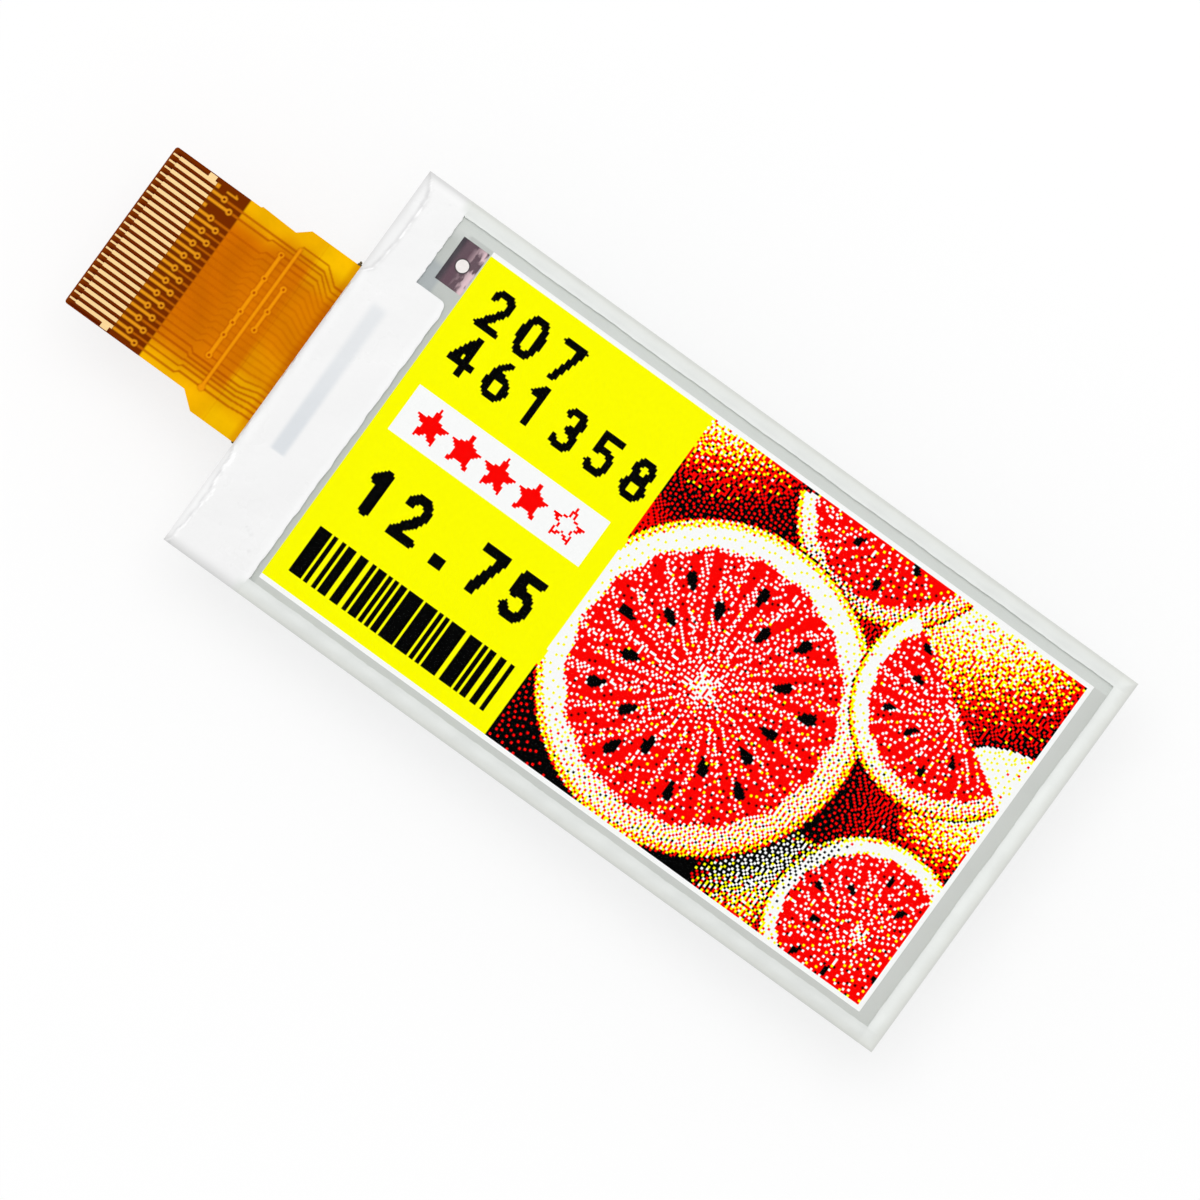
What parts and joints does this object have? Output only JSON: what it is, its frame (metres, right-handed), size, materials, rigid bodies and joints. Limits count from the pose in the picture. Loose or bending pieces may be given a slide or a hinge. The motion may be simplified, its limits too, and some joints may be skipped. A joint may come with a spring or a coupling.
{
  "type": "electronic paper display with flexible tail",
  "caption": "Four-colour electronic paper display of a shelf label: glass panel, front films, white-coated driver ledge and a flexible contact tail that folds behind it.",
  "frame": {"origin": "centre of the back of the glass", "axes": "+X along the picture towards its right, away from the tail; +Y up the picture; +Z out of the viewing face"},
  "size_m": [0.0711, 0.0296, 0.001],
  "materials": {
    "clear_glass": "polished, clear",
    "thin_film_metal": "thin metal film, fine grid",
    "ledge_metal": "thin metal film",
    "pad_metal": "dark violet, smooth",
    "conductive_glue": "matt, silver-white",
    "clear_film": "clear, glossy",
    "ink": "matt, picture in black, white, yellow and red",
    "front_sheet": "clear with a matt face",
    "seal": "milky, cured sealant",
    "silicon": "polished silicon",
    "bond_film": "cured adhesive film",
    "white_coat": "satin white silicone coat",
    "polyimide": "amber film, glossy",
    "cover_film": "amber film, glossy",
    "copper": "rolled copper",
    "contact_plating": "pale gold plating",
    "amber_glue": "cured glue, glossy",
    "stiffener_film": "thick amber film"
  },
  "bodies": {
    "panel": {"backplane_glass": "clear_glass", "pixel_array": "thin_film_metal", "ledge_wiring": "ledge_metal", "electrode_pad": "pad_metal", "conductive_dot": "conductive_glue", "ink_bond_film": "clear_film", "ink_layer": "ink", "electrode_film": "clear_film", "optical_bond_film": "clear_film", "protective_sheet": "front_sheet", "edge_seal": "seal", "driver_chip": "silicon", "chip_bond_film": "bond_film", "ledge_coat": "white_coat", "flex_bond_film": "bond_film", "flex_root_film": "polyimide", "flex_root_copper": "copper", "root_glue": "amber_glue"},
    "bend_1": {"bend_film_1": "polyimide", "bend_copper_1": "copper"},
    "bend_2": {"bend_film_2": "polyimide", "bend_copper_2": "copper"},
    "bend_3": {"bend_film_3": "polyimide", "bend_copper_3": "copper"},
    "bend_4": {"bend_film_4": "polyimide", "bend_copper_4": "copper"},
    "tail": {"tail_film": "polyimide", "contact_fingers": "contact_plating", "front_copper": "copper", "back_copper": "copper", "front_coverlay": "cover_film", "back_coverlay": "cover_film", "stiffener": "stiffener_film", "stiffener_bond": "bond_film"}
  },
  "joints": [
    {"name": "fold_1", "type": "hinge", "parent": "panel", "child": "bend_1", "pos_m": [-0.0291, 0, 0.00053], "axis": [0, -1, 0], "range_deg": [0, 36], "stiffness_Nm_per_rad": 0.005},
    {"name": "fold_2", "type": "hinge", "parent": "bend_1", "child": "bend_2", "pos_m": [-0.02952, 0, 0.00053], "axis": [0, -1, 0], "range_deg": [0, 36], "stiffness_Nm_per_rad": 0.005},
    {"name": "fold_3", "type": "hinge", "parent": "bend_2", "child": "bend_3", "pos_m": [-0.02993, 0, 0.00053], "axis": [0, -1, 0], "range_deg": [0, 36], "stiffness_Nm_per_rad": 0.005},
    {"name": "fold_4", "type": "hinge", "parent": "bend_3", "child": "bend_4", "pos_m": [-0.03034, 0, 0.00053], "axis": [0, -1, 0], "range_deg": [0, 36], "stiffness_Nm_per_rad": 0.005},
    {"name": "fold_5", "type": "hinge", "parent": "bend_4", "child": "tail", "pos_m": [-0.03075, 0, 0.00053], "axis": [0, -1, 0], "range_deg": [0, 36], "stiffness_Nm_per_rad": 0.005}
  ]
}
